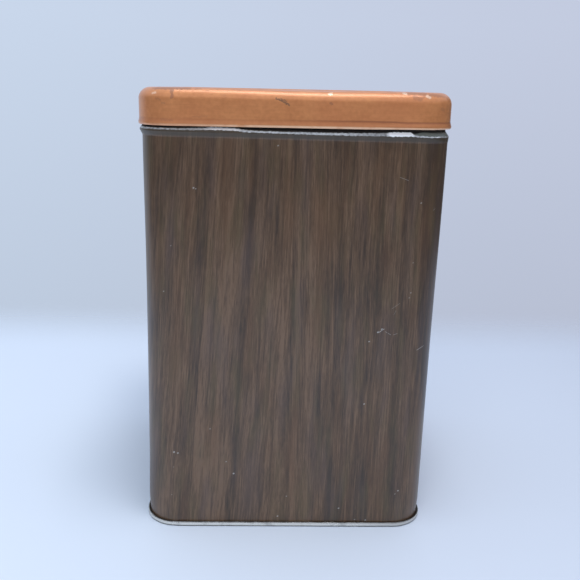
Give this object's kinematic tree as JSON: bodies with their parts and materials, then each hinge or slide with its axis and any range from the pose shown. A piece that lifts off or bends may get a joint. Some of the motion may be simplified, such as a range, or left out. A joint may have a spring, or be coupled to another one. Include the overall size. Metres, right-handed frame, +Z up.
{
  "type": "square kitchen canister tin",
  "caption": "Tall square tinplate canister with rounded corners, a wood-grain printed wall, a seamed foot, a stop bead and a shallow slip lid that lifts off.",
  "frame": {"origin": "middle of the foot, on the surface that the tin stands on", "axes": "+Z up through the lid, -Y towards the front, +X to the right as seen from the front"},
  "size_m": [0.131, 0.131, 0.1956],
  "materials": {
    "wood_grain_print": "printed dark walnut grain under satin varnish, worn to bright tin along the bead",
    "tinplate": "plain bright tinplate, dulled with age",
    "sealing_compound": "matt grey lining compound",
    "copper_lacquer": "satin copper-coloured lacquer over tinplate, rubbed at the edges"
  },
  "bodies": {
    "canister": {"body_wall": "wood_grain_print", "base_end": "tinplate", "seam_compound": "sealing_compound"},
    "lid": {"lid": "copper_lacquer"}
  },
  "joints": [
    {"name": "lid_lift", "type": "slide", "parent": "canister", "child": "lid", "axis": [0, 0, 1], "range_m": [0, 0.16]}
  ]
}
